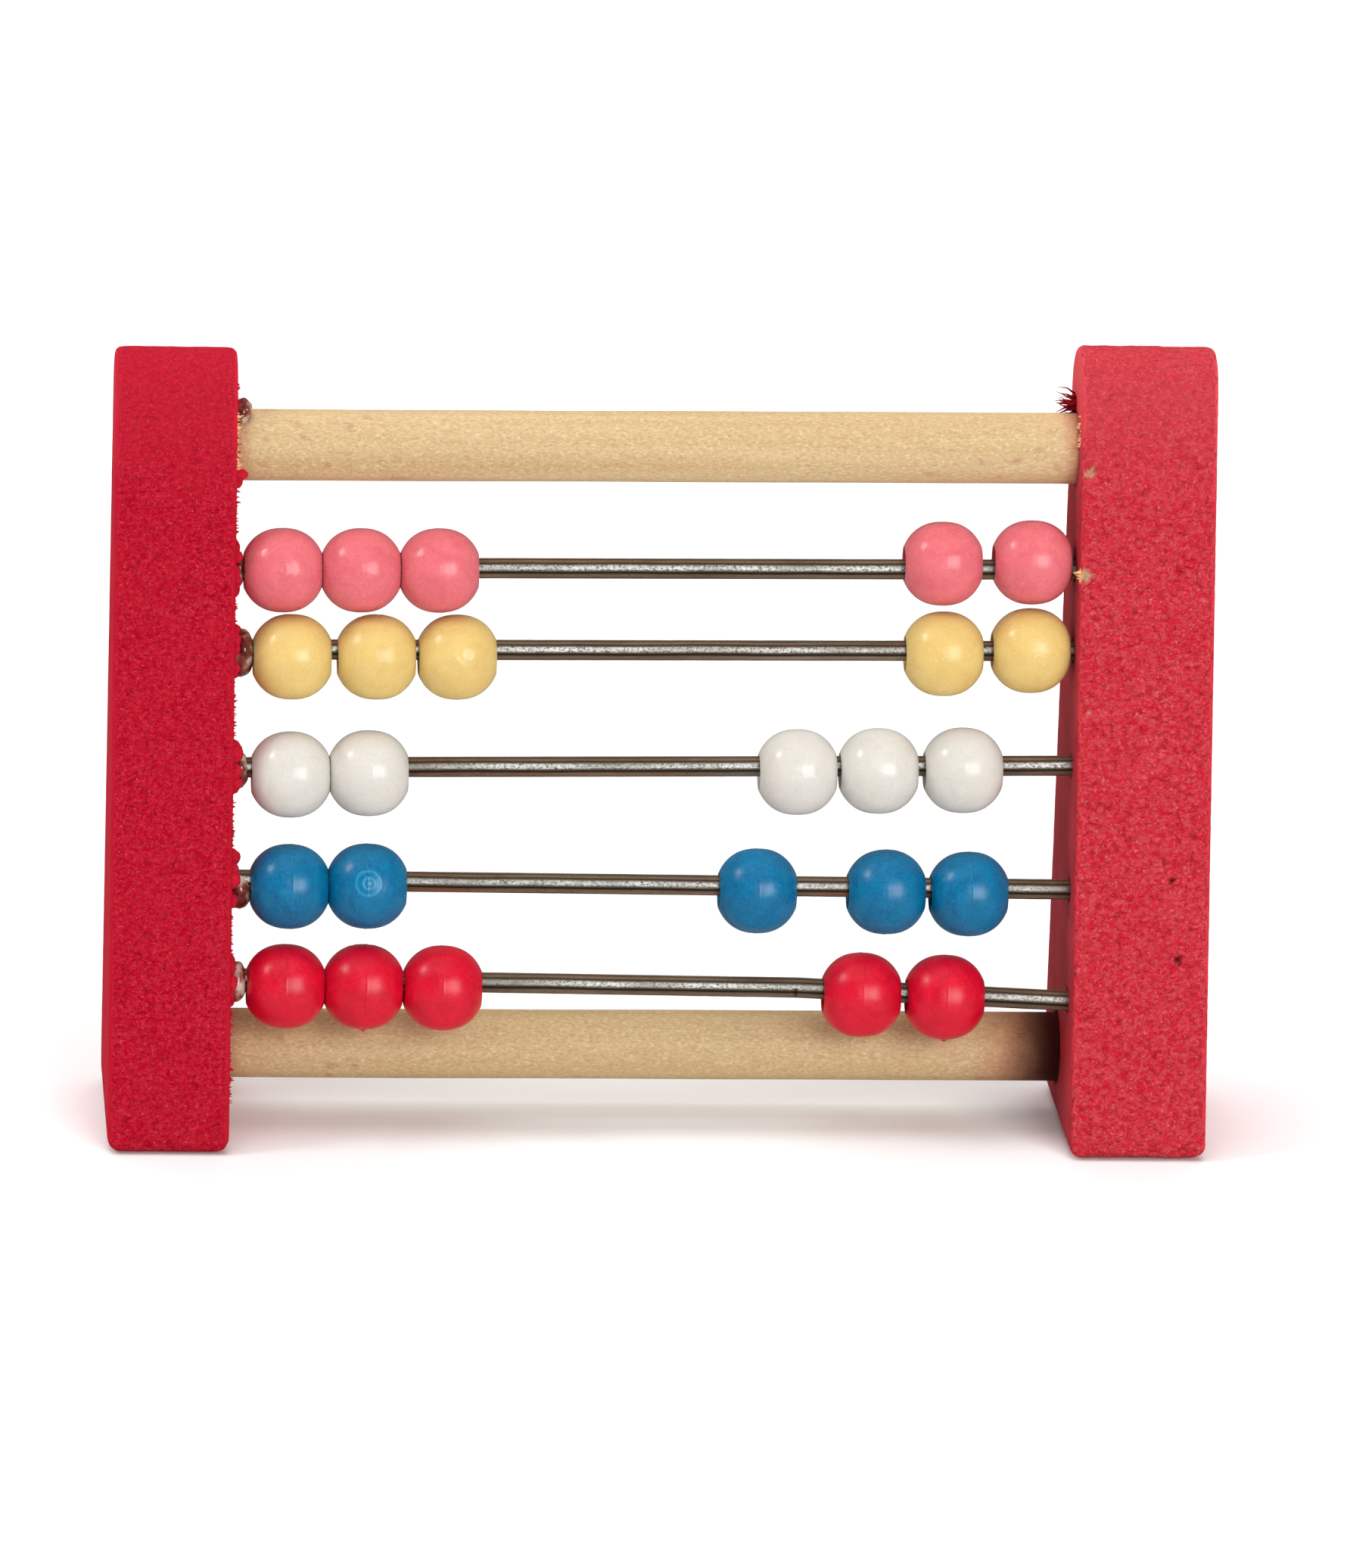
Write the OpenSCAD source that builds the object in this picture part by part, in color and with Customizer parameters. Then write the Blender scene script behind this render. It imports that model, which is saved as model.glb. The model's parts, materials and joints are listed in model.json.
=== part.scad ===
// Toy abacus: two painted side panels, two wooden dowels and five steel wires,
// each wire carrying five plastic beads that slide.
// +X runs along the wires, -Y is the front and +Z is up. The origin is on the
// surface that the abacus stands on, in the middle of its length and depth.

/* [Frame] */
// Free length of the wires, between the two side panels
inner_span = 97.9; // [90:0.1:120]
// Thickness of the left side panel
left_thickness = 14.2; // [12:0.1:18]
// Thickness of the right side panel
right_thickness = 16.2; // [12:0.1:18]
// Height of the left side panel, measured up its sloping front face
left_height = 93.8; // [92:0.1:100]
// Height of the right side panel, measured up its sloping front face
right_height = 95.4; // [92:0.1:100]
// Angle that the front face leans back from the vertical
lean = 14; // [10:0.5:18]

/* [Side panel outline] */
// Depth of a panel at its foot, square to the front face
foot_depth = 27; // [24:0.5:32]
// Radius of the rounded top of a panel
nose_r = 5.2; // [5:0.1:6]
// Radius of the front corner of the foot
toe_r = 1.5; // [1.2:0.1:2.5]
// Radius of the back corner of the foot
heel_r = 4; // [1.5:0.1:4.5]
// Rounding of the edges around both faces of a panel
edge_r = 0.9; // [0.5:0.1:1.2]

/* [Dowels] */
// Diameter of the two wooden dowels
dowel_d = 8.2; // [7:0.1:8.4]
// Depth of the blind holes that hold the dowels
dowel_socket = 10; // [6:0.5:11]
// Depth of the top dowel's axis behind the front face
top_dowel_depth = 5.5; // [5.4:0.1:5.8]
// Height of the top dowel's axis up the front face, at the left and the right
top_dowel_v = [82.4, 83.2]; // [81:0.1:84]
// Depth of the bottom dowel's axis behind the front face
bottom_dowel_depth = 15; // [12:0.1:17]
// Height of the bottom dowel's axis up the front face, at the left and the right
bottom_dowel_v = [12.1, 12.4]; // [11:0.1:13]

/* [Wires] */
// Diameter of the five steel wires
wire_d = 2.4; // [2:0.1:2.4]
// Depth of the blind holes that hold the wires
wire_socket = 8; // [5:0.5:10]
// Depth of the wires' axes behind the front face
wire_depth = 4.6; // [4.2:0.1:5]
// Heights of the wires' left ends up the front face, from the top wire down
wire_left_v = [68.2, 58.7, 45, 31.95, 20.45]; // [20:0.05:69]
// Heights of the wires' right ends up the front face, from the top wire down
wire_right_v = [69.05, 59.55, 46.15, 31.65, 18.3]; // [18:0.05:69]
// The bottom wire is slightly bent: how far its bend is from the left panel
bend_x = 66; // [60:1:75]
// Height of the bottom wire's bend up the front face
bend_v = 19.9; // [19:0.05:20.4]

/* [Beads] */
// Diameters of the beads of each row, from the top row down
bead_d = [10, 10.1, 10.2, 10.1, 10.1]; // [9.8:0.1:10.2]
// Length of a bead along its wire, between its flat ends
bead_length = 9; // [8.6:0.1:9]
// Diameter of the hole through a bead
bead_bore = 4.3; // [4:0.1:4.3]
// Smallest gap left between two beads that rest against each other
bead_gap = 0.1; // [0.05:0.05:0.2]

/* [Glue] */
// Outer diameter of the glue around each wire's left end
glue_d = 4.4; // [3.6:0.1:5]
// Outer diameter of the glue around the top dowel's left end
dowel_glue_d = 9.6; // [9:0.1:10]
// How far the dowel's glue stands out from the panel
dowel_glue_length = 1.5; // [0.8:0.1:1.6]

/* [Hidden] */
$fn = 96;
HULL_FN = 32;
ROWS = ["pink", "yellow", "white", "blue", "red"];
ROW_COLOURS = ["lightcoral", "khaki", "whitesmoke", "steelblue", "crimson"];
BEADS = 5;
// Each row's beads rest in two groups, pushed to the left and to the right.
// Free length to the left of each bead of the left group, from the left panel
LEFT_GAPS = [[1, 0, 0], [2.2, 0.7, 0.3], [2.2, 0], [2.2, 0], [1.9, 0, 0.1]];
// Free length to the right of each bead of the right group, from the right panel
RIGHT_GAPS = [[0.4, 1.4], [0.4, 1.1], [8.1, 0.8, 0.4], [7.2, 0.6, 6], [9.8, 0.7]];
// How far each bead's axis hangs below its wire's, from the left; their bores are
// wide, and the top row's beads are held up by the row below
BEAD_DROP = [
    [0.3, 0.3, 0.3, -0.7, -0.88],
    [0.88, 0.88, 0.88, 0.35, -0.05],
    [0.88, 0.75, 0.7, 0.6, 0.55],
    [0.75, 0.6, 0.6, 0.55, 0.7],
    [0.88, 0.75, 0.75, 0.75, 0.88]
];
// How far the bottom wire swells where it is bent
BEND_SWELL = 0.04;
// Radial room around a wire or a dowel in its hole, which the glue fills
GLUE_ROOM = 0.05;

dowel_r = dowel_d / 2;
wire_r = wire_d / 2;
// Pitch of beads that rest against each other
bead_pitch = bead_length + bead_gap;
left_face = -inner_span / 2;
right_face = inner_span / 2;
// Centres of a panel's foot corners, [depth, height] square to the front face,
// placed so that the foot's underside is level once the panel leans back
toe = [toe_r, toe_r * (1 + sin(lean)) / cos(lean)];
heel = [foot_depth - heel_r, ((foot_depth - heel_r) * sin(lean) + heel_r) / cos(lean)];
// Where the middle of the whole length and depth lies before the origin moves there
centre_x = (right_thickness - left_thickness) / 2;
front_y = standing_y(toe) - toe_r;
back_y = standing_y([nose_r, max(left_height, right_height) - nose_r]) + nose_r;
centre_y = (front_y + back_y) / 2;

// How far back a point [depth, height] of a panel lies once the panel leans back
function standing_y(point) = point[0] * cos(lean) + point[1] * sin(lean);

// Puts a shape drawn square to the front face (x along the object, y the depth
// behind the front face, z the height up it) where it stands, leaning back
module stand() {
    translate([-centre_x, -centre_y, 0])
        rotate([-lean, 0, 0])
            children();
}

// A disc with rounded edges that lies across a panel: one corner of its outline.
// One of its flats faces straight down once the panel leans back
module outline_corner(r, centre, thickness) {
    translate([0, centre[0], centre[1]])
        rotate([0, 90, 0])
            rotate([0, 0, lean])
                rotate_extrude($fn = HULL_FN)
                    hull() {
                        square([r - edge_r, thickness]);
                        for (x = [edge_r, thickness - edge_r])
                            translate([r - edge_r, x])
                                intersection() {
                                    circle(edge_r, $fn = 16);
                                    translate([0, -edge_r])
                                        square([edge_r, 2 * edge_r]);
                                }
                    }
}

// The solid of one side panel, its left face at x = 0, before it is drilled
module panel_blank(height, thickness) {
    hull() {
        outline_corner(nose_r, [nose_r, height - nose_r], thickness);
        outline_corner(toe_r, toe, thickness);
        outline_corner(heel_r, heel, thickness);
    }
}

// A rod of radius r between two points that share a depth
module rod(ends, r) {
    run = ends[1] - ends[0];
    translate(ends[0])
        rotate([0, atan2(run[0], run[2]), 0])
            cylinder(h = norm(run), r = r);
}

// A rod through three points, slightly swollen where it bends at the middle one
module bent_rod(points, r) {
    rod([points[0], points[1]], r);
    rod([points[1], points[2]], r);
    translate(points[1])
        rotate([0, 90, 0])
            sphere(r = r + BEND_SWELL);
}

// A dowel's axis, with v its height at the left and the right face, from socket
// to socket
function dowel_points(depth, v) =
    let (rise = (v[1] - v[0]) * dowel_socket / inner_span)
    [
        [left_face - dowel_socket, depth, v[0] - rise],
        [right_face + dowel_socket, depth, v[1] + rise]
    ];

// Rise of wire i for each millimetre along x, where its beads run; the bottom
// wire's beads run along the stretch before its bend
function wire_rise(i) =
    i == len(ROWS) - 1
        ? (bend_v - wire_left_v[i]) / bend_x
        : (wire_right_v[i] - wire_left_v[i]) / inner_span;

// The line that the beads of wire i run along, at x
function on_wire(i, x) = [x, wire_depth, wire_left_v[i] + wire_rise(i) * (x - left_face)];

// Where wire i begins, at the bottom of its left socket
function wire_start(i) = on_wire(i, left_face - wire_socket);

// Wire i, thicker all round by room; the bottom one has a bend
module wire_rod(i, room) {
    bend = [left_face + bend_x, wire_depth, bend_v];
    end = [right_face + wire_socket, wire_depth, wire_right_v[i]];
    if (i == len(ROWS) - 1)
        bent_rod([wire_start(i), bend, end], wire_r + room);
    else
        rod([wire_start(i), on_wire(i, right_face + wire_socket)], wire_r + room);
}

// Everything that the panels are drilled for
module drillings() {
    rod(dowel_points(top_dowel_depth, top_dowel_v), dowel_r + GLUE_ROOM);
    rod(dowel_points(bottom_dowel_depth, bottom_dowel_v), dowel_r + GLUE_ROOM);
    for (i = [0 : len(ROWS) - 1])
        wire_rod(i, GLUE_ROOM);
}

module left_side_panel() {
    color("crimson")
        stand()
            difference() {
                translate([left_face - left_thickness, 0, 0])
                    panel_blank(left_height, left_thickness);
                drillings();
            }
}

module right_side_panel() {
    color("crimson")
        stand()
            difference() {
                translate([right_face, 0, 0])
                    panel_blank(right_height, right_thickness);
                drillings();
            }
}

module top_dowel() {
    color("burlywood")
        stand()
            rod(dowel_points(top_dowel_depth, top_dowel_v), dowel_r);
}

module bottom_dowel() {
    color("burlywood")
        stand()
            rod(dowel_points(bottom_dowel_depth, bottom_dowel_v), dowel_r);
}

module wire(i) {
    color("silver")
        stand()
            wire_rod(i, 0);
}

// A ring of glue against the left panel's inner face, around an axis of radius r
module glue_ring(centre, r, outer_r, length) {
    translate(centre)
        rotate([0, 90, 0])
            difference() {
                intersection() {
                    cylinder(h = length, r = outer_r);
                    sphere(r = norm([outer_r, length * 0.45]));
                }
                translate([0, 0, -1])
                    cylinder(h = length + 2, r = r + GLUE_ROOM);
            }
}

module wire_glue() {
    color("firebrick")
        stand()
            for (i = [0 : len(ROWS) - 1])
                glue_ring(
                    on_wire(i, left_face), wire_r, glue_d / 2, LEFT_GAPS[i][0] - 2 * bead_gap
                );
}

module dowel_glue() {
    color("firebrick")
        stand()
            glue_ring(
                [left_face, top_dowel_depth, top_dowel_v[0]],
                dowel_r, dowel_glue_d / 2, dowel_glue_length
            );
}

// Sum of the first n values of a list
function sum_to(list, n) = n == 0 ? 0 : list[n - 1] + sum_to(list, n - 1);

// Where the middle of bead n of row i rests along x, n counted from 0 at the left
function bead_x(i, n) =
    n < len(LEFT_GAPS[i])
        ? left_face + sum_to(LEFT_GAPS[i], n + 1) + (n + 0.5) * bead_pitch
        : right_face - sum_to(RIGHT_GAPS[i], BEADS - n) - (BEADS - n - 0.5) * bead_pitch;

// Bead n of row i: a ball with flat ends and its bore along the wire it hangs on
module bead(i, n) {
    color(ROW_COLOURS[i])
        translate([0, 0, -BEAD_DROP[i][n]])
            stand()
                translate(on_wire(i, bead_x(i, n)))
                    rotate([0, 90 - atan(wire_rise(i)), 0])
                        difference() {
                            intersection() {
                                sphere(d = bead_d[i]);
                                cylinder(h = bead_length, r = bead_d[i], center = true);
                            }
                            cylinder(h = bead_length + 2, d = bead_bore, center = true);
                        }
}

left_side_panel();
right_side_panel();
top_dowel();
bottom_dowel();
wire_glue();
dowel_glue();
for (i = [0 : len(ROWS) - 1])
    wire(i);
for (i = [0 : len(ROWS) - 1], n = [0 : BEADS - 1])
    bead(i, n);
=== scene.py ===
"""Toy abacus: painted fibreboard sides, wooden dowels, steel wires and glossy plastic beads."""
import json
import math
import random

import bmesh
import bpy
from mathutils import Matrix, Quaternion, Vector, noise


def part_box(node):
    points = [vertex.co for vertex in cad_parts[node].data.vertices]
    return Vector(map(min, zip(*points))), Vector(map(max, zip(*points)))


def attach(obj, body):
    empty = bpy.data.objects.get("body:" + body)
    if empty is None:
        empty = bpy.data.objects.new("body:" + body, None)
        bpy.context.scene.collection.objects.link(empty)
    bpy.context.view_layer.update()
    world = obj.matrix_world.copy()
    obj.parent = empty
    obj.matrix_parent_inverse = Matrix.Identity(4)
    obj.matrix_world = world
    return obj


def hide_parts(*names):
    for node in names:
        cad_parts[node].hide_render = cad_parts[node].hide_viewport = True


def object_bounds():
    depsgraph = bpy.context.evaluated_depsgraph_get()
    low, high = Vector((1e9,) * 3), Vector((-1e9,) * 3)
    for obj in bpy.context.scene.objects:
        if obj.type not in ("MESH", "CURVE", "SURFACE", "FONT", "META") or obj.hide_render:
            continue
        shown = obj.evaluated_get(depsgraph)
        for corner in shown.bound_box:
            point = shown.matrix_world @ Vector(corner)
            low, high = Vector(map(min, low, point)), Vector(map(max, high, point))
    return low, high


MM = 0.001
BODY = "frame"
LEAN = math.radians(14)  # how far back the panels' front faces lean
VOXEL = 0.4 * MM  # grid that the panels are remeshed on
EDGE_R = 0.9  # rounding of the panels' front edges, in millimetres
FOOT_R = 2.2  # rounding of the panels' two lower corners, in millimetres
ROD_SEGMENTS = 96  # sides of a dowel's or a wire's cross section
BORE_R = 2.15 * MM  # radius of the hole through a bead

# The right panel's flaws: millimetres from its inner edge and up its front, radius, and kind
FLAWS = (
    (1.1, 80.4, 0.75, "chip"),
    (0.8, 68.5, 1.0, "chip"),
    (1.7, 76.2, 0.35, "chip"),
    (9.9, 72.8, 0.35, "chip"),
    (1.6, 61.9, 0.4, "chip"),
    (1.4, 52.5, 0.45, "chip"),
    (11.5, 33.0, 0.55, "pit"),
    (12.6, 23.7, 0.65, "pit"),
    (11.8, 79.2, 0.3, "pit"),
)

# Painted dark reflections: dark lines along the wires at the same fixed angles round every one,
# drawn like die marks: angle round the wire up from the front, half width in degrees, and strength
PAINTED_DARK_REFLECTIONS = (
    (-9, 9, 1.0), (46, 6, 0.85), (76, 6, 0.7), (-54, 6, 0.8), (118, 8, 0.7), (-150, 7, 0.8),
)
# The painted highlight between two of them, a silver strip on the side facing the softbox: its
# angle and half width
PAINTED_HIGHLIGHT_BAND = (20, 18)

# The plastic of each row of beads from the top: its base, deep and bright colours, then how
# much light it lets in, how far green and blue travel in it, and its least roughness
PLASTICS = {
    "pink": ((218, 110, 118), (208, 94, 105), (227, 134, 140), 0.35, 0.5, 0.18),
    "yellow": ((218, 189, 118), (211, 178, 106), (228, 203, 140), 0.3, 0.6, 0.19),
    "white": ((209, 205, 198), (202, 198, 189), (226, 223, 216), 0.3, 0.8, 0.15),
    "blue": ((2, 107, 151), (1, 86, 128), (34, 146, 186), 0.1, 0.8, 0.25),
    "red": ((206, 6, 42), (184, 2, 32), (226, 48, 66), 0.12, 0.3, 0.27),
}
# Each bead has the rings of its mould's gate somewhere. The gated one shows them at the front,
# so its mesh is finer. Two others have a nub underneath.
GATED = "blue_bead_2"
GATE_AT = Vector((-0.02, -0.93, 0.36)).normalized()
GATE_RINGS = (0.1, 0.7, 1.5)  # their radii in millimetres
NUBBED = ("red_bead_2", "red_bead_5")
NUB_AT = Vector((0, -0.25, -0.97)).normalized()

# Glue where each wire enters the left panel, from the top: how far it stands out, its radius,
# and how much lower than the wire its middle is, in millimetres
WIRE_BLOBS = (
    (1.2, 2.2, 0.1), (2.4, 3.2, 0.4), (2.0, 2.3, 0.3), (2.4, 2.5, 1.3), (2.0, 2.7, 0.3),
)
# Paint raised into a crater round the same holes: its radius, and how far it stands out
CRATERS = ((2.4, 1.0), (2.5, 1.0), (2.3, 1.5), (2.8, 1.3), (2.4, 1.0))
CRATER_LUMPS = 9  # how many lumps make up a crater

# Where the camera looks, and where it stands from there: degrees right of the front and above
# it, and metres away. They follow the photograph's perspective.
CAMERA_TARGET = Vector((0.00206, 0.0058, 0.03895))
AZIMUTH, ELEVATION, ROLL = (math.radians(a) for a in (-5.08, 17.29, 2.07))
DISTANCE = 1.2537


# ---------------------------------------------------------------- node materials

def srgb(red, green, blue):
    """A colour given in 0 to 255 as a linear RGBA tuple."""
    def linear(c):
        c /= 255
        return c / 12.92 if c <= 0.04045 else ((c + 0.055) / 1.055) ** 2.4
    return (linear(red), linear(green), linear(blue), 1.0)


class Graph:
    """A material's node tree, with short calls for the nodes that this script uses."""

    def __init__(self, name, **constants):
        self.material = bpy.data.materials.new(name)
        self.material.use_nodes = True
        self.tree = self.material.node_tree
        self.shader = self.tree.nodes["Principled BSDF"]
        self.shade(**constants)

    def node(self, kind, **inputs):
        made = self.tree.nodes.new(kind)
        for key, value in inputs.items():
            self.put(made.inputs[key.replace("_", " ")], value)
        return made

    def put(self, socket, value):
        """Links a socket to another node's output, or sets its constant."""
        if isinstance(value, bpy.types.NodeSocket):
            self.tree.links.new(value, socket)
        else:
            socket.default_value = value

    def shade(self, **inputs):
        for key, value in inputs.items():
            self.put(self.shader.inputs[key.replace("_", " ")], value)

    def place(self, stretch=(1, 1, 1)):
        """The object's own coordinates in millimetres, divided along each axis by stretch."""
        coordinates = self.tree.nodes.new("ShaderNodeTexCoord").outputs["Object"]
        mapping = self.node("ShaderNodeMapping", Vector=coordinates)
        mapping.inputs["Scale"].default_value = [1000 / s for s in stretch]
        return mapping.outputs["Vector"]

    def noise(self, place, size, detail=3, roughness=0.55, warp=0):
        """Noise whose features are size millimetres across."""
        return self.node(
            "ShaderNodeTexNoise", Vector=place, Scale=1 / size,
            Detail=detail, Roughness=roughness, Distortion=warp,
        ).outputs["Fac"]

    def cells(self, place, size):
        """Distance to scattered points that are about size millimetres apart."""
        return self.node("ShaderNodeTexVoronoi", Vector=place, Scale=1 / size).outputs["Distance"]

    def ramp(self, value, *stops):
        """A colour ramp; stops are (position, colour or grey)."""
        made = self.node("ShaderNodeValToRGB", Fac=value)
        elements = made.color_ramp.elements
        while len(elements) < len(stops):
            elements.new(0.5)
        for element, (position, colour) in zip(elements, stops):
            element.position = position
            element.color = colour if isinstance(colour, tuple) else (colour,) * 3 + (1,)
        return made.outputs["Color"]

    def mix(self, amount, first, second):
        made = self.tree.nodes.new("ShaderNodeMix")
        made.data_type = "RGBA"
        self.put(made.inputs[0], amount)
        self.put(made.inputs[6], first)
        self.put(made.inputs[7], second)
        return made.outputs[2]

    def maths(self, operation, first, second=0.5):
        made = self.tree.nodes.new("ShaderNodeMath")
        made.operation = operation
        self.put(made.inputs[0], first)
        self.put(made.inputs[1], second)
        return made.outputs[0]

    def attribute(self, name):
        made = self.tree.nodes.new("ShaderNodeAttribute")
        made.attribute_name = name
        return made.outputs["Fac"]

    def bump(self, *layers):
        """Stacks bumps; each layer is (height, depth in millimetres)."""
        normal = None
        for height, depth in layers:
            made = self.node("ShaderNodeBump", Height=height, Distance=depth * MM)
            made.inputs["Strength"].default_value = 1.0
            if normal:
                self.tree.links.new(normal, made.inputs["Normal"])
            normal = made.outputs["Normal"]
        self.shade(Normal=normal)


def paint_material(name, tones, grain, depth):
    """Red paint on fibreboard. tones are its crevice shade, body, raised, speck and inner-face
    colours. The crevice shade paints shade into the hollows of the sawn edges and the raised tone
    paints highlight on their bumps; the inner-face colour is a painted shade. grain is the size of
    the fibres on the sawn edges, and depth how rough they are."""
    crevice_shade, body, raised, speck, inner = (srgb(*tone) for tone in tones)
    g = Graph(name, Specular_IOR_Level=0.03)
    place = g.place()
    cut = g.attribute("cut")
    clumps = g.noise(g.place((1.25, 1.0, 1.0)), grain, 5, 0.7, warp=0.6)
    fibres = g.noise(g.place((1.5, 1.0, 0.8)), grain * 0.45, 3, 0.7, warp=1.0)
    fine = g.noise(place, 0.16, 2, 0.6)
    streaks = g.noise(g.place((1, 6, 1.5)), 0.9, 3, 0.6)
    pebbles = g.cells(g.place((1.1, 1.0, 1.0)), grain * 1.25)
    # painted light and shade on the relief: raised clumps take the lighter raised tone, and hollows
    # between fibres and pebbles the dark crevice shade
    sawn = g.mix(g.ramp(clumps, (0.42, 0.0), (0.60, 1.0)), body, raised)
    sawn = g.mix(g.ramp(fibres, (0.30, 0.9), (0.45, 0.0)), sawn, crevice_shade)
    sawn = g.mix(g.ramp(pebbles, (0.55, 0.0), (0.95, 0.6)), sawn, crevice_shade)
    specks = g.noise(place, grain * 0.6, 2, 0.5)
    sawn = g.mix(g.ramp(specks, (0.61, 0.0), (0.75, 0.6)), sawn, speck)
    # painted shade: inner faces take the dark inner tone, and the outer flat faces are pulled 40%
    # towards it
    smooth = g.mix(g.attribute("inner"), g.mix(0.4, body, inner), inner)
    # the crevice shade also draws faint random streaks on the flat faces
    smooth = g.mix(g.ramp(streaks, (0.3, 0.3), (0.6, 0.0)), smooth, crevice_shade)
    tone = g.mix(cut, smooth, sawn)
    tone = g.mix(g.ramp(g.noise(place, 7, 3), (0.45, 0.0), (0.8, 0.14)), tone, raised)
    # painted highlight with some wear: lighter near the front's side edges and towards the top of
    # the panel
    tone = g.mix(g.attribute("wear_and_highlight"), tone, raised)
    tone = g.mix(g.attribute("chip"), tone, srgb(230, 176, 138))
    # painted shade: pits are coloured darker as well as pressed in
    tone = g.mix(g.attribute("pit"), tone, srgb(122, 24, 30))
    g.shade(Base_Color=tone, Roughness=g.ramp(fine, (0.3, 0.5), (0.7, 0.7)))
    g.bump(
        (g.maths("MULTIPLY", clumps, cut), 0.6 * depth),
        (g.maths("MULTIPLY", pebbles, cut), -0.35 * depth),
        (g.maths("MULTIPLY", fibres, cut), 0.35 * depth),
        (g.noise(place, 1.6, 3), 0.08),
        (fine, 0.03),
    )
    return g.material


def wood_material(name):
    """Pale birch: fine speckled grain along the dowel and short darker pores, with red stains
    and a painted shadow, dark brown, where the mesh says so."""
    g = Graph(name, Specular_IOR_Level=0.15)
    bands = g.noise(g.place((34, 1, 1)), 2.8, 3, 0.5, warp=0.3)
    fibres = g.noise(g.place((2.6, 1, 1)), 0.22, 3, 0.75)
    flecks = g.noise(g.place((1.6, 1, 1)), 0.36, 3, 0.65)
    pores = g.ramp(g.cells(g.place((3, 1, 1)), 0.45), (0.06, 1.0), (0.24, 0.0))
    cloud = g.noise(g.place((4, 1, 1)), 5, 2)
    tone = g.ramp(
        bands, (0.3, srgb(192, 164, 120)), (0.5, srgb(199, 173, 130)), (0.7, srgb(206, 182, 141)),
    )
    tone = g.mix(g.ramp(fibres, (0.36, 0.5), (0.56, 0.0)), tone, srgb(170, 126, 84))
    tone = g.mix(g.ramp(flecks, (0.52, 0.0), (0.7, 0.5)), tone, srgb(232, 210, 172))
    tone = g.mix(g.maths("MULTIPLY", pores, 0.2), tone, srgb(150, 104, 70))
    tone = g.mix(g.ramp(cloud, (0.6, 0.0), (0.85, 0.16)), tone, srgb(214, 156, 132))
    tone = g.mix(g.attribute("stain"), tone, srgb(150, 44, 40))
    # painted shadow: a dark brown ramp where the right panel shades the bottom dowel
    painted_shadow = g.attribute("painted_shadow")
    tone = g.mix(painted_shadow, tone, g.ramp(painted_shadow, (0.3, srgb(150, 44, 30)), (0.95, srgb(60, 16, 12))))
    g.shade(Base_Color=tone, Roughness=g.ramp(fibres, (0.3, 0.55), (0.7, 0.75)))
    g.bump((bands, 0.05), (fibres, 0.07), (g.maths("SUBTRACT", 1.0, pores), 0.03))
    return g.material


def steel_material(name):
    """Drawn steel wire: a brown skin, with painted dark reflections as lines along it and a painted
    highlight as a bright crystalline strip on the side facing the softbox.
    """
    g = Graph(name, Metallic=0.62, Specular_IOR_Level=0.3)
    drawn = g.noise(g.place((14, 1, 1)), 0.16, 3, 0.7)
    grains = g.noise(g.place((1.5, 1, 1)), 0.24, 3, 0.8)
    patches = g.noise(g.place((5, 1, 1)), 2.6, 3, 0.6)
    # painted highlight: a silver strip at a fixed angle round every wire, on the side facing the
    # softbox
    painted_highlight = g.attribute("painted_highlight")
    skin = g.ramp(patches, (0.3, (0.185, 0.115, 0.068, 1)), (0.65, (0.30, 0.215, 0.145, 1)))
    skin = g.mix(g.ramp(drawn, (0.5, 0.0), (0.75, 0.6)), skin, (0.40, 0.31, 0.23, 1))
    highlight_silver = g.mix(
        g.ramp(grains, (0.40, 1.0), (0.56, 0.0)), (0.60, 0.60, 0.57, 1), (0.13, 0.125, 0.11, 1),
    )
    highlight_silver = g.mix(g.ramp(patches, (0.36, 0.85), (0.56, 0.0)), highlight_silver, (0.20, 0.185, 0.16, 1))
    tone = g.mix(painted_highlight, skin, highlight_silver)
    # painted dark reflections: near-black lines at fixed angles round the wire
    tone = g.mix(g.attribute("painted_dark_reflection"), tone, (0.010, 0.007, 0.004, 1))
    g.shade(Base_Color=tone, Roughness=g.ramp(grains, (0.35, 0.26), (0.7, 0.42)))
    g.bump((drawn, 0.02), (g.maths("MULTIPLY", grains, painted_highlight), 0.06))
    return g.material


def bead_material(name, base, deep, bright, cloudy, glow, dull):
    """Moulded plastic with a fine orange-peel skin and faint swirls from the moulding.
    cloudy is how much light it lets in, glow how far green and blue travel against red, and
    dull its least roughness."""
    g = Graph(name, IOR=1.42, Subsurface_Weight=cloudy, Subsurface_Scale=1.6 * MM)
    g.shader.inputs["Subsurface Radius"].default_value = (1.0, glow, glow)
    place = g.place()
    swirl = g.noise(place, 3.2, 3, 0.6, warp=1.2)
    speckle = g.noise(place, 0.30, 3, 0.7)
    peel = g.noise(place, 0.22, 2, 0.5)
    tone = g.mix(g.ramp(swirl, (0.25, 0.0), (0.6, 1.0)), srgb(*deep), srgb(*base))
    tone = g.mix(g.ramp(speckle, (0.5, 0.0), (0.8, 0.5)), tone, srgb(*bright))
    tone = g.mix(g.ramp(speckle, (0.25, 0.5), (0.46, 0.0)), tone, srgb(*deep))
    tone = g.mix(g.maths("MULTIPLY", g.attribute("gate"), 0.7), tone, srgb(*bright))
    g.shade(Base_Color=tone, Roughness=g.ramp(speckle, (0.3, dull), (0.75, dull + 0.11)))
    g.bump((swirl, 0.03), (peel, 0.007), (speckle, 0.006))
    return g.material


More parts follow.
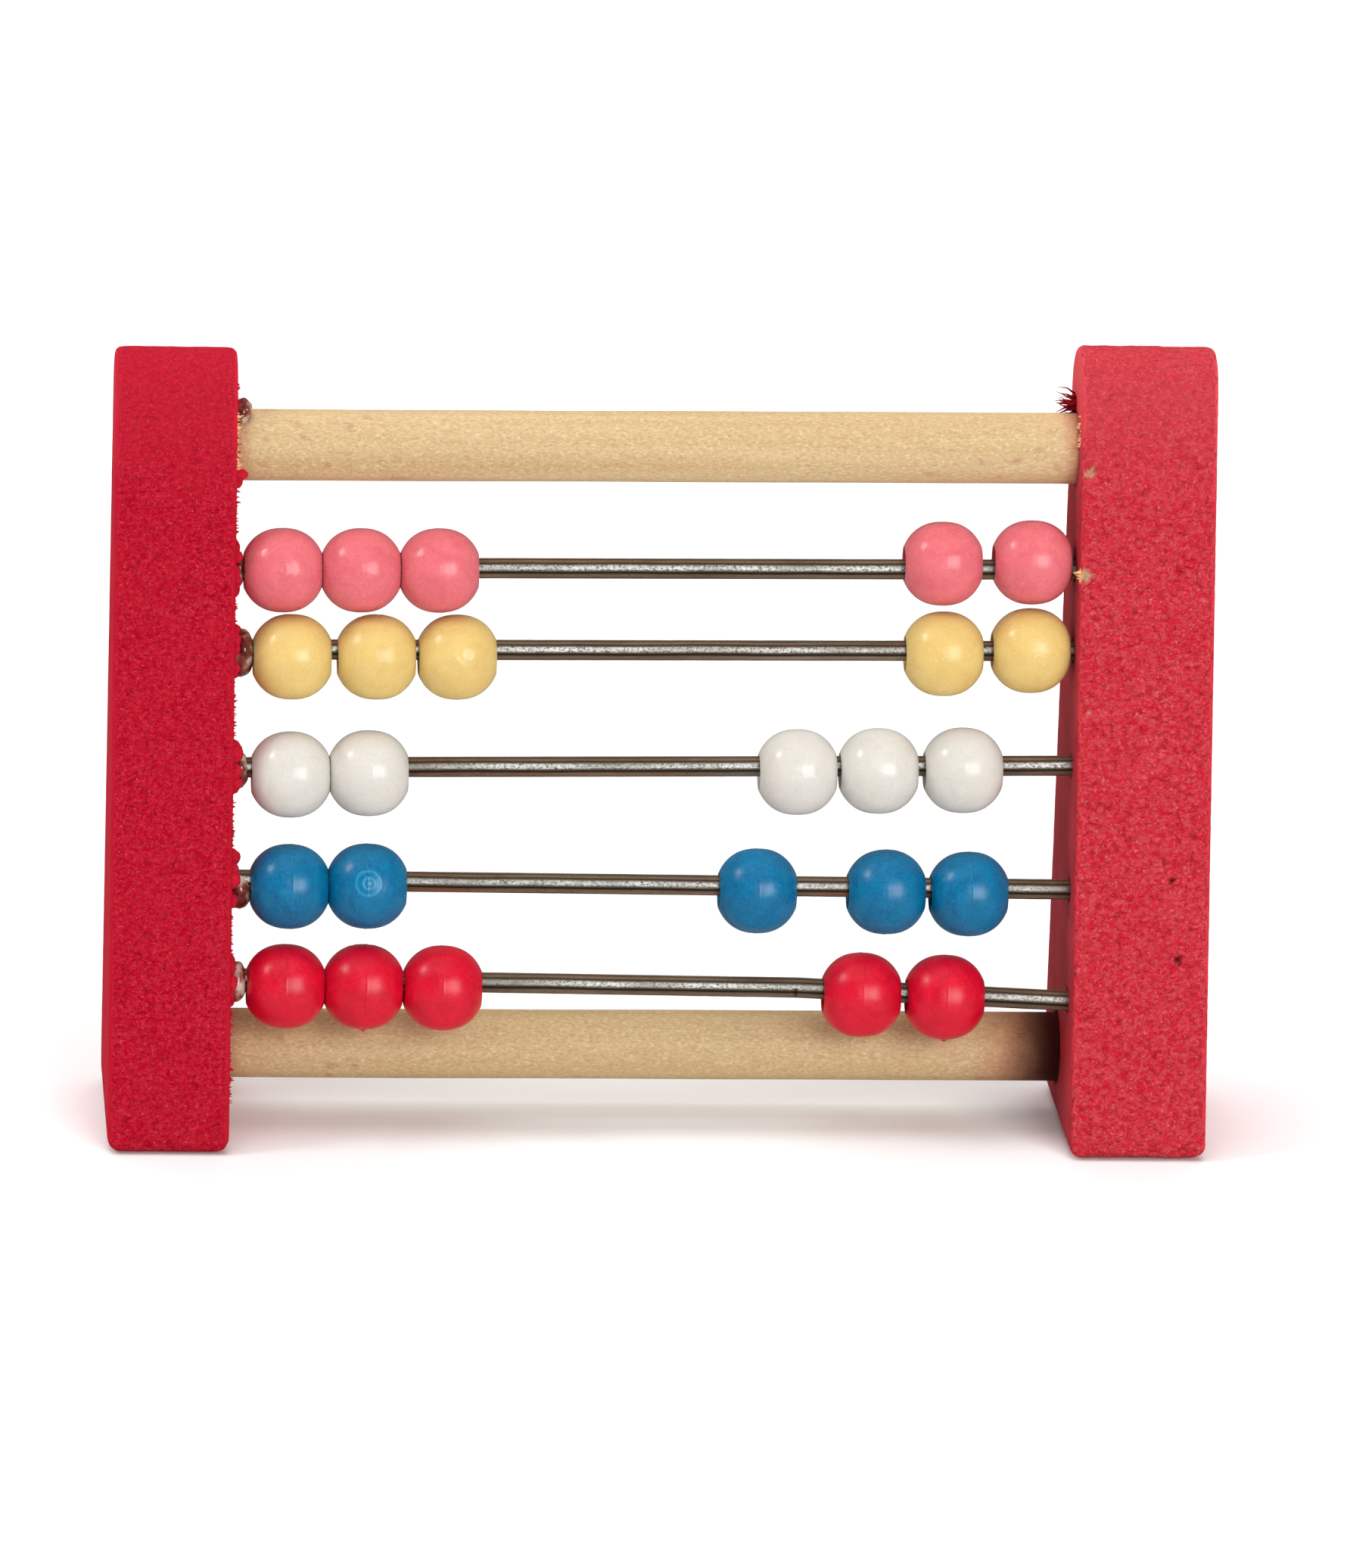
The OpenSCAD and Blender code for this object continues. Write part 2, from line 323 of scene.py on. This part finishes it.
def glue_material(name):
    """Clear hot glue, tinted brown and red by the wet paint that it picked up."""
    g = Graph(name, Transmission_Weight=0.3, IOR=1.5, Coat_Weight=1.0, Coat_Roughness=0.03)
    place = g.place()
    tint = g.noise(place, 2.0, 2, 0.5)
    tone = g.ramp(
        tint, (0.38, srgb(96, 20, 20)), (0.50, srgb(148, 72, 58)), (0.63, srgb(232, 206, 190)),
    )
    g.shade(Base_Color=tone, Roughness=g.ramp(tint, (0.3, 0.06), (0.7, 0.18)))
    g.bump((tint, 0.06), (g.noise(place, 0.35, 2), 0.01))
    return g.material


def fibre_material(name):
    """Bare fibreboard fibres, stained pink where the paint has torn away."""
    g = Graph(name, Specular_IOR_Level=0.2)
    strands = g.noise(g.place((3, 1, 1)), 0.3, 4, 0.7)
    tone = g.ramp(
        strands, (0.3, srgb(206, 112, 80)), (0.5, srgb(236, 186, 132)), (0.8, srgb(248, 222, 172)),
    )
    g.shade(Base_Color=tone, Roughness=g.ramp(strands, (0.3, 0.6), (0.7, 0.85)))
    g.bump((strands, 0.08), (g.noise(g.place(), 0.15, 2), 0.03))
    return g.material


# ---------------------------------------------------------------- mesh helpers

def smoothstep(low, high, value):
    t = min(1, max(0, (value - low) / (high - low)))
    return t * t * (3 - 2 * t)


def wobble(point, size, seed=0.0):
    """Smooth noise from 0 to 1 whose features are size millimetres across."""
    return 0.5 + 0.5 * noise.noise(point / (size * MM) + Vector((seed, 1.7 * seed, 5.3)))


def new_piece(name, mesh, material, *, body=BODY, replaces=None):
    """Makes an object from a mesh that already stands in place, and lets it ride on a body."""
    piece = bpy.data.objects.new(name, mesh)
    bpy.context.scene.collection.objects.link(piece)
    mesh.materials.clear()
    mesh.materials.append(material)
    for polygon in mesh.polygons:
        polygon.use_smooth = True
    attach(piece, body)
    if replaces:
        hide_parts(replaces)


def mesh_from(name, build):
    """A mesh filled in by build(bmesh)."""
    mesh = bpy.data.meshes.new(name)
    made = bmesh.new()
    build(made)
    bmesh.ops.remove_doubles(made, verts=made.verts, dist=1e-7)
    bmesh.ops.recalc_face_normals(made, faces=made.faces)
    made.to_mesh(mesh)
    made.free()
    return mesh


def sweep(made, stations, segments, dent=None):
    """Joins rings about stations of (centre, direction, radius).
    dent(point, outwards) gives how far a point is pushed in."""
    rings = []
    for centre, direction, radius in stations:
        side = direction.cross(Vector((0, 0, 1))).normalized()
        other = direction.cross(side).normalized()
        ring = []
        for k in range(segments):
            angle = math.tau * k / segments
            out = math.cos(angle) * side + math.sin(angle) * other
            point = centre + out * radius
            if dent:
                point -= out * dent(point, out)
            ring.append(made.verts.new(point))
        rings.append(ring)
    for a, b in zip(rings, rings[1:]):
        for k in range(segments):
            n = (k + 1) % segments
            made.faces.new((a[k], a[n], b[n], b[k]))
    return rings


def rod(made, stations, segments, dent=None):
    """A sweep with both ends closed."""
    rings = sweep(made, stations, segments, dent)
    made.faces.new(rings[0])
    made.faces.new(rings[-1])


def lump(made, centre, reach, seed, rough=0.25):
    """A rounded lump about centre, with reach its half sizes along x, y and z."""
    ball = bmesh.ops.create_icosphere(made, subdivisions=4, radius=1.0)
    for vertex in ball["verts"]:
        out = vertex.co.copy()
        swell = 1 - rough * (
            0.7 * (0.5 + 0.5 * noise.noise(out * 1.3 + Vector((seed, 0, 3))))
            + 0.3 * (0.5 + 0.5 * noise.noise(out * 3.5 + Vector((0, seed, 7))))
        )
        vertex.co = centre + Vector(o * r for o, r in zip(out * swell, reach))


def spike(made, root, tip, thickness, sag):
    """A thin bent fibre from root to tip."""
    run = tip - root
    bend = root + run * 0.5 + sag
    stations = [
        (root - run * 0.1, bend - root, thickness),
        (root + (bend - root) * 0.6, bend - root, thickness * 0.8),
        (bend, tip - root, thickness * 0.6),
        (tip, tip - bend, thickness * 0.12),
    ]
    rod(made, stations, 5)


def set_values(mesh, name, values):
    """Stores one value for every point of a mesh, for its material to read."""
    mesh.attributes.new(name, "FLOAT", "POINT").data.foreach_set("value", values)


def box_middle(points):
    """The middle of the box around some points."""
    first, last = (Vector([pick(p[k] for p in points) for k in range(3)]) for pick in (min, max))
    return (first + last) / 2


def rod_axis(node):
    """Centres of a CAD rod that lies roughly along X, at its left end and its right end."""
    points = [v.co for v in frame["nodes"][node].data.vertices]
    low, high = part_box(node)
    reach = (high.x - low.x) * 0.02
    return [
        box_middle([p for p in points if p.x - low.x < reach]),
        box_middle([p for p in points if high.x - p.x < reach]),
    ]


# ---------------------------------------------------------------- the side panels

def up_front(along_x, height, depth=0.0):
    """A point on the panels' sloping front: x in metres, then millimetres up it and behind it."""
    return Vector((
        along_x,
        TOE_FRONT.y + (depth * math.cos(LEAN) + height * math.sin(LEAN)) * MM,
        (height * math.cos(LEAN) - depth * math.sin(LEAN)) * MM,
    ))


def side_panel(node, material, *, roughness, size, marks=()):
    """The panel's CAD solid, remeshed finely, its sawn edges pitted and its paint dented.
    roughness is how deep the pits are and size how wide, in millimetres. marks are (point,
    radius in millimetres, kind), with the kind a chip or a pit."""
    blank = bpy.data.objects.new(node + "_blank", frame["nodes"][node].data.copy())
    bpy.context.scene.collection.objects.link(blank)
    remesh = blank.modifiers.new("remesh", "REMESH")
    remesh.mode = "VOXEL"
    remesh.voxel_size = VOXEL
    soften = blank.modifiers.new("soften", "SMOOTH")
    soften.iterations = 2
    evaluated = blank.evaluated_get(bpy.context.evaluated_depsgraph_get())
    fine = bpy.data.meshes.new_from_object(evaluated)
    bpy.data.objects.remove(blank)
    low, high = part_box(node)
    normals = [v.normal.copy() for v in fine.vertices]
    inwards = 1 if low.x < middle.x else -1
    values = {"cut": [], "inner": [], "wear_and_highlight": [], "chip": [], "pit": []}
    for vertex, normal in zip(fine.vertices, normals):
        p = vertex.co.copy()
        cut = 1 - smoothstep(0.35, 0.9, abs(normal.x))
        coarse = wobble(p, size)
        fibrous = wobble(p, size * 0.35, 9)
        press = roughness * (0.25 + 0.75 * cut) * (0.6 * coarse + 0.4 * fibrous)
        to_side = min(p.x - low.x, high.x - p.x) / MM
        # Lighter near the side edges, partly wear and partly a painted highlight on the rounded
        # edge, and towards the top, a painted highlight where the rounded top catches the light.
        wear_and_highlight = 0.55 * (1 - smoothstep(0.2, 1.1, to_side + 0.5 * fibrous)) * (0.4 + 0.6 * cut)
        wear_and_highlight += 0.5 * smoothstep(high.z - 18 * MM, high.z - 4 * MM, p.z + (coarse - 0.5) * 6 * MM)
        found = {"chip": 0.0, "pit": 0.0}
        for point, radius, kind in marks:
            away = (p - point).length / MM
            if away < 2 * radius:
                away += 0.9 * radius * (fibrous - 0.5)
                ragged = 1 - smoothstep(0.75 * radius, 1.05 * radius, away)
                found[kind] = max(found[kind], ragged)
        press += 0.25 * found["pit"] + 0.12 * found["chip"]
        vertex.co = p - normal * press * MM
        # The foot is worn round at its two lower corners.
        from_side, from_floor = (FOOT_R - away for away in (to_side, (p.z - low.z) / MM))
        beyond = math.hypot(from_side, from_floor)
        if from_side > 0 and from_floor > 0 and beyond > FOOT_R:
            pull = (1 - FOOT_R / beyond) * MM
            vertex.co.x += pull * from_side * (1 if p.x < (low.x + high.x) / 2 else -1)
            vertex.co.z += pull * from_floor
        values["cut"].append(cut)
        # marks the inner faces, which take the painted shade tone
        values["inner"].append(smoothstep(0.2, 0.9, inwards * normal.x))
        values["wear_and_highlight"].append(min(0.8, wear_and_highlight))
        for kind, value in found.items():
            values[kind].append(value)
    for name, layer in values.items():
        set_values(fine, name, layer)
    new_piece(node + "_painted", fine, material, replaces=node)


def paint_lump(name, centres, material, wall, side):
    """Lumps of paint on a panel's inner face. centres are (point, radius, how far it stands
    out), with the last two in millimetres, and side is the way the face points."""
    def build(made):
        for k, (centre, radius, proud) in enumerate(centres):
            base = Vector((wall, centre.y, centre.z))
            lump(made, base, (proud * MM, radius * MM, radius * MM), 3.1 * k + side, 0.35)

    mesh = mesh_from(name, build)
    # the lumps take the inner faces' painted shade and some of the painted highlight
    for layer, value in (("cut", 0.35), ("wear_and_highlight", 0.35), ("inner", 1.0)):
        set_values(mesh, layer, [value] * len(mesh.vertices))
    new_piece(name, mesh, material)


def ragged_edge(name, material, rng, *, wall, side, heights, count, length,
                burr=0.1, depths=(0.25, 1.6)):
    """Whiskers of paint and fibre along a panel's inner front edge. All is in millimetres:
    heights run up the front face and depths behind it, length scales the whiskers, and burr is
    the share of it that even the shortest has. side is the way the panel's wall faces."""
    def build(made):
        for _ in range(count):
            height = rng.uniform(*heights)
            depth = rng.uniform(*depths)
            rounding = EDGE_R - math.sqrt(EDGE_R ** 2 - max(0, EDGE_R - depth) ** 2)
            root = up_front(wall - side * (0.2 + rounding) * MM, height, depth)
            clump = wobble(Vector((0, wall, height * MM)), 5, length)
            reach = length * (rng.random() ** 1.6 * (0.25 + 1.3 * clump ** 2) + burr)
            drift = Vector((0, rng.uniform(-0.25, 0.25), rng.uniform(-0.45, 0.45))) * reach
            tip = up_front(wall + side * reach * MM, height, depth) + drift * MM
            sag = Vector((0, rng.uniform(-1, 1), rng.uniform(-1, 1))) * (0.06 + 0.2 * reach) * MM
            spike(made, root, tip, rng.uniform(0.08, 0.26) * MM, sag)

    mesh = mesh_from(name, build)
    # the whiskers take the inner faces' painted shade
    set_values(mesh, "inner", [1.0] * len(mesh.vertices))
    new_piece(name, mesh, material)


# ---------------------------------------------------------------- dowels, wires and beads

def dowel(node, material):
    """A wooden dowel with soft ridges along its grain, red paint stains near the panels, and a
    painted shadow at the bottom dowel's right end.
    """
    start, end = rod_axis(node)
    run = end - start
    low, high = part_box(node)
    radius = (high.y - low.y) / 2
    steps = 160
    stations = [(start + run * k / steps, run, radius) for k in range(steps + 1)]

    def dent(point, out):
        ridge = noise.noise(Vector((point.x / (30 * MM), 12 * out.y, 12 * out.z)))
        sag = noise.noise(Vector((point.x / (18 * MM), out.y, out.z + 9)))
        return (0.03 * (1 + ridge) + 0.05 * (1 + sag)) * MM

    mesh = mesh_from(node, lambda made: rod(made, stations, ROD_SEGMENTS, dent))

    def stain(p):
        from_wall = min(p.x - LEFT_WALL, RIGHT_WALL - p.x) / MM
        rim = 1 - smoothstep(0.1, 0.8, from_wall + 1.1 * wobble(p, 1.1))
        spot = smoothstep(0.70, 0.80, wobble(p, 1.6, 4)) * (1 - smoothstep(12, 26, from_wall))
        strength, reach = (0.5, 2.6) if p.x > middle.x else (0.4, 2.4)
        smear = strength * (1 - smoothstep(0, reach, from_wall))
        return min(1, 0.9 * rim + 0.3 * spot + smear)

    def painted_shadow(p):
        # Painted shadow: only the bottom dowel's right end is darkened, darkest where it meets the
        # panel that shades it.
        if node != "bottom_dowel":
            return 0
        return 1 - smoothstep(0.5, 12, (RIGHT_WALL - p.x) / MM + 1.2 * (wobble(p, 2.2) - 0.5))

    set_values(mesh, "stain", [stain(v.co) for v in mesh.vertices])
    set_values(mesh, "painted_shadow", [painted_shadow(v.co) for v in mesh.vertices])
    new_piece(node + "_turned", mesh, material, replaces=node)


def wire(node, material):
    """A drawn wire, its surface very slightly uneven. It follows its CAD solid's axis, with a
    bend where the solid has points well away from both ends."""
    points = [v.co for v in frame["nodes"][node].data.vertices]
    start, end = rod_axis(node)
    low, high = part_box(node)
    slope = abs(end.y - start.y)
    radius = ((high.y - low.y) - slope) / 2
    margin = 0.2 * (high.x - low.x)
    bend = [p for p in points if low.x + margin < p.x < high.x - margin]
    path = [start, box_middle(bend), end] if bend else [start, end]
    steps = 120
    stations = []
    for a, b in zip(path, path[1:]):
        stations += [(a + (b - a) * k / steps, b - a, radius) for k in range(steps + 1)]

    def dent(point, out):
        return 0.012 * (1 + noise.noise(point / (1.5 * MM))) * MM

    mesh = mesh_from(node, lambda made: rod(made, stations, ROD_SEGMENTS, dent))

    def turn(p):
        # The angle round the wire, up from the front. The wire twists a little on its way.
        share = min(1, max(0, (p.x - start.x) / (end.x - start.x)))
        axis = start.lerp(end, share)
        if len(path) == 3:
            axis = path[0].lerp(path[1], (p.x - path[0].x) / (path[1].x - path[0].x))
            if p.x > path[1].x:
                axis = path[1].lerp(path[2], (p.x - path[1].x) / (path[2].x - path[1].x))
        angle = math.degrees(math.atan2(p.z - axis.z, axis.y - p.y))
        sway = 4 * noise.noise(Vector((p.x / (9 * MM), 3 * sum(map(ord, node)), 0)))
        return angle + sway

    turns = [turn(v.co) for v in mesh.vertices]
    # painted dark reflections, at the same angles round every wire
    set_values(mesh, "painted_dark_reflection", [
        max(depth * math.exp(-(((angle - at) / width) ** 2)) for at, width, depth in PAINTED_DARK_REFLECTIONS)
        for angle in turns
    ])
    # painted highlight: the same silver strip round every wire, on the side facing the softbox
    set_values(mesh, "painted_highlight", [
        1 - smoothstep(0.75, 1.1, abs(angle - PAINTED_HIGHLIGHT_BAND[0]) / PAINTED_HIGHLIGHT_BAND[1]) for angle in turns
    ])
    new_piece(node + "_drawn", mesh, material, replaces=node)


def bead_profile(radius, half, bore, parting, steps):
    """A bead's section as (along, radius): the squarish ball and its bore, with extra
    points about the parting line."""
    along = [math.sin(math.pi / 2 * (k / steps - 1)) for k in range(2 * steps + 1)]
    along += [(parting + 0.045 * MM * k) / half for k in range(-6, 7)]
    ball = [(half * t, radius * math.sqrt(1 - abs(t / 1.094) ** 2.3)) for t in sorted(along)]
    bore_wall = [(half * (0.92 - 0.307 * k), bore) for k in range(7)]
    return ball + bore_wall + [ball[0]]


def bead(joint, material, rng):
    """One moulded bead: a ball with flat ends, slightly oval, with a parting line round it."""
    node = joint["child"]
    low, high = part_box(node)
    centre = (low + high) / 2
    axis = Vector(joint["axis"]).normalized()
    radius = (high.y - low.y) / 2
    half = (high.x - low.x) / 2
    turn = rng.uniform(0, math.tau)
    gate = Vector((rng.uniform(-0.3, 0.3), math.cos(turn), math.sin(turn))).normalized()
    gated = node == GATED
    if gated:
        gate = GATE_AT
    segments, steps = (400, 90) if gated else (128, 28)
    ridge = 0.05 if node.startswith(("blue", "red")) else 0.012
    parting = rng.uniform(-0.25, 0.25) * MM
    profile = bead_profile(radius, half, BORE_R, parting, steps)
    squash = rng.uniform(0.01, 0.05)
    stations = [(centre + axis * along, axis, r) for along, r in profile]

    def dent(point, out):
        away = (point - centre) / radius
        if away.length < 0.8:
            return 0
        along = (point - centre).dot(axis)
        seam = math.exp(-(((along - parting) / (0.13 * MM)) ** 2)) * wobble(point, 6, 3 * turn)
        ripple = wobble(point, 2.6, turn)
        oval = squash * (0.5 + 0.5 * out.dot(gate))
        nub = 0.0
        if node in NUBBED:
            from_nub = (away.normalized() - NUB_AT).length * radius
            nub = 0.28 * math.exp(-((from_nub / (0.34 * MM)) ** 2))
        return (0.06 + 0.04 * ripple - ridge * seam - 0.035 * rings(point) - nub + oval) * MM

    def rings(point):
        away = ((point - centre).normalized() - gate).length * radius / MM
        return sum(math.exp(-((away - ring) / 0.15) ** 2) for ring in GATE_RINGS)

    mesh = mesh_from(node, lambda made: sweep(made, stations, segments, dent))
    if gated:
        set_values(mesh, "gate", [rings(v.co) for v in mesh.vertices])
    new_piece(
        node + "_moulded", mesh, material,
        body=node, replaces=node,
    )


# ---------------------------------------------------------------- glue and paint on the left panel

def wire_entry(number):
    """Where a wire leaves the left panel."""
    start, end = rod_axis(f"wire_{number}")
    return start + (end - start) * ((LEFT_WALL - start.x) / (end.x - start.x))


def dowel_entry():
    """Where the top dowel leaves the left panel, and the radius of its glue in millimetres."""
    low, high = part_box("dowel_glue")
    hole = (low + high) / 2
    return Vector((LEFT_WALL, hole.y, hole.z)), (high.z - low.z) / 2 / MM


def wire_glue(made):
    """An uneven blob of glue where each wire leaves the left panel."""
    for number, (proud, radius, lower) in enumerate(WIRE_BLOBS, 1):
        centre = wire_entry(number) + Vector((0.4 * proud, 0, -lower)) * MM
        lump(made, centre, (0.65 * proud * MM, radius * MM, radius * MM), 5.7 * number, 0.2)


def dowel_glue(made):
    """A blob of glue on top of the top dowel, and a thin uneven ring around it."""
    hole, radius = dowel_entry()
    lump(made, hole + Vector((0.6, -1.6, 4.5)) * MM, (1.3 * MM, 1.7 * MM, 1.8 * MM), 2.0, 0.3)
    lump(made, hole, (0.7 * MM, radius * MM, radius * MM), 8.0, 0.25)


def paint_collars(rng):
    """The raised paint round the left panel's holes, as centres for paint_lump."""
    collars = []
    for number, (radius, proud) in enumerate(CRATERS, 1):
        for k in range(CRATER_LUMPS):
            angle = math.tau * (k + 0.5 * rng.random()) / CRATER_LUMPS
            around = Vector((0, math.cos(angle), math.sin(angle))) * radius * rng.uniform(0.85, 1.1)
            size, stands_out = rng.uniform(0.9, 1.3), proud * rng.uniform(0.6, 1.0)
            collars.append((wire_entry(number) + around * MM, size, stands_out))
    hole, _ = dowel_entry()
    collars.append((hole + Vector((0, -2.7, -2.2)) * MM, 1.7, 1.7))
    collars.append((hole + Vector((0, -2.0, -3.7)) * MM, 1.2, 1.0))
    return collars


# ---------------------------------------------------------------- stage, light and camera

def stage_floor():
    """A pale floor that curves up behind the object without an edge."""
    half, front, back, height, bend = 6.0, -6.0, 4.0, 5.0, 2.0
    section = [(front, 0.0), (back - bend, 0.0)]
    section += [
        (back - bend + bend * math.sin(a), bend - bend * math.cos(a))
        for a in (math.pi / 2 * k / 16 for k in range(1, 17))
    ]
    section.append((back, height))

    def build(made):
        rows = [[made.verts.new((x, y, z)) for x in (-half, half)] for y, z in section]
        for a, b in zip(rows, rows[1:]):
            made.faces.new((a[0], a[1], b[1], b[0]))

    mesh = mesh_from("floor", build)
    floor = bpy.data.objects.new("floor", mesh)
    bpy.context.scene.collection.objects.link(floor)
    for polygon in mesh.polygons:
        polygon.use_smooth = True
    g = Graph("floor_paper", Roughness=0.9, Specular_IOR_Level=0.1)
    grain = g.noise(g.place(), 40, 2)
    g.shade(Base_Color=g.ramp(grain, (0.4, (0.88, 0.88, 0.88, 1)), (0.6, (0.89, 0.89, 0.89, 1))))
    mesh.materials.append(g.material)
    floor.visible_glossy = False


def aimed(place, target):
    """Rotation of a light or camera at place that looks at target."""
    return (target - place).to_track_quat("-Z", "Y")


def area_light(name, target, direction, *, distance, size, radiance):
    """A square light of a given radiance, seen from target in a direction."""
    light = bpy.data.lights.new(name, "AREA")
    light.shape = "SQUARE"
    light.size = size
    light.energy = radiance * math.pi * size ** 2
    lamp = bpy.data.objects.new(name, light)
    bpy.context.scene.collection.objects.link(lamp)
    lamp.location = target + Vector(direction).normalized() * distance
    lamp.rotation_mode = "QUATERNION"
    lamp.rotation_quaternion = aimed(lamp.location, target)
    return lamp


def lights(target):
    """A softbox at the front right, a small one at the upper left, and two broad lights above
    that glossy surfaces don't reflect."""
    area_light(
        "softbox", target, (0.353, -0.868, 0.341), distance=1.7, size=0.92, radiance=6.8,
    )
    area_light(
        "small_box", target, (-0.693, -0.058, 0.720), distance=1.5, size=0.36, radiance=12.5,
    )
    broad = (
        area_light(
            "overhead", target, (-0.10, -0.22, 0.97), distance=2.2, size=1.8, radiance=2.7,
        ),
        area_light("back", target, (-0.05, 0.58, 0.81), distance=2.6, size=3.0, radiance=1.75),
    )
    for lamp in broad:
        lamp.visible_glossy = False
    world = bpy.data.worlds.new("room")
    world.use_nodes = True
    background = world.node_tree.nodes["Background"]
    background.inputs["Color"].default_value = (1.0, 0.98, 0.95, 1)
    background.inputs["Strength"].default_value = 0.20
    bpy.context.scene.world = world
    bpy.context.scene.view_settings.view_transform = "Standard"


def camera(target):
    """A long lens a little left of the front, looking down, and rolled by two degrees."""
    data = bpy.data.cameras.new("camera")
    data.lens = 245.7
    data.sensor_width = 36
    data.clip_start, data.clip_end = 0.05, 30
    eye = bpy.data.objects.new("camera", data)
    bpy.context.scene.collection.objects.link(eye)
    back = Vector((
        math.sin(AZIMUTH) * math.cos(ELEVATION),
        -math.cos(AZIMUTH) * math.cos(ELEVATION),
        math.sin(ELEVATION),
    ))
    eye.location = target + back * DISTANCE
    eye.rotation_mode = "QUATERNION"
    eye.rotation_quaternion = aimed(eye.location, target) @ Quaternion((0, 0, 1), ROLL)
    bpy.context.scene.camera = eye


# ---------------------------------------------------------------- the scene

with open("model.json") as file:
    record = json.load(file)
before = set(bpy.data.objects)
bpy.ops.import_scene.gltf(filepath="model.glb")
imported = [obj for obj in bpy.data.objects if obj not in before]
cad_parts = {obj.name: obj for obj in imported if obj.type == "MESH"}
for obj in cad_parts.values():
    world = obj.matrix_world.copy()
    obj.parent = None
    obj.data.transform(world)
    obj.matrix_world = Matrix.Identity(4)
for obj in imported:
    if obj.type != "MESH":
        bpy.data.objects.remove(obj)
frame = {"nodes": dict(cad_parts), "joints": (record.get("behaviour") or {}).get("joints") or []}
cad_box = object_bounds()
middle = (cad_box[0] + cad_box[1]) / 2
LEFT_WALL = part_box("left_side_panel")[1].x
RIGHT_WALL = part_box("right_side_panel")[0].x
TOE_FRONT = Vector((0, cad_box[0].y, 0))

camera(CAMERA_TARGET)
lights(middle)
stage_floor()

dice = random.Random(11)
# tones: crevice shade, body, raised, speck, and the inner faces' painted shade
left_paint = paint_material(
    "left_paint",
    ((148, 2, 28), (200, 3, 39), (220, 42, 64), (242, 108, 116), (172, 14, 38)),
    grain=0.42, depth=0.62,
)
# tones: crevice shade, body, raised, speck, and the inner faces' painted shade
right_paint = paint_material(
    "right_paint",
    ((190, 12, 38), (245, 43, 65), (254, 90, 100), (254, 164, 156), (120, 22, 32)),
    grain=0.6, depth=1.45,
)
side_panel("left_side_panel", left_paint, roughness=0.12, size=1.8)
side_panel("right_side_panel", right_paint, roughness=0.30, size=1.2, marks=[
    (up_front(RIGHT_WALL + inwards * MM, height), radius, kind)
    for inwards, height, radius, kind in FLAWS
])

wood = wood_material("birch")
for name in ("top_dowel", "bottom_dowel"):
    dowel(name, wood)
steel = steel_material("drawn_steel")
for number in range(1, len(PLASTICS) + 1):
    wire(f"wire_{number}", steel)
plastics = {row: bead_material(f"{row}_plastic", *look) for row, look in PLASTICS.items()}
for slide in frame["joints"]:
    bead(slide, plastics[slide["child"].split("_")[0]], dice)

glue = glue_material("glue")
for node, build in (("wire_glue", wire_glue), ("dowel_glue", dowel_glue)):
    new_piece(f"{node}_blobs", mesh_from(node, build), glue, replaces=node)
paint_lump("left_paint_lumps", paint_collars(dice), left_paint, LEFT_WALL, 1)

ragged_edge(
    "left_whiskers", left_paint, dice,
    wall=LEFT_WALL, side=1, heights=(6, 89.5), count=380, length=0.65,
)
ragged_edge(
    "right_splinters", right_paint, dice,
    wall=RIGHT_WALL, side=-1, heights=(87.2, 89.3), count=34, length=2.4,
    burr=0.35, depths=(4.5, 7.0),
)
fibres = fibre_material("bare_fibre")
ragged_edge(
    "left_dowel_fibres", fibres, dice,
    wall=LEFT_WALL, side=1, heights=(79.5, 86.0), count=130, length=1.0,
)
ragged_edge(
    "right_fibres", fibres, dice,
    wall=RIGHT_WALL, side=-1, heights=(68.2, 69.2), count=14, length=0.9,
    burr=0.1, depths=(0.2, 0.6),
)
ragged_edge(
    "right_dowel_fibres", fibres, dice,
    wall=RIGHT_WALL, side=-1, heights=(83.0, 87.0), count=24, length=0.5,
)
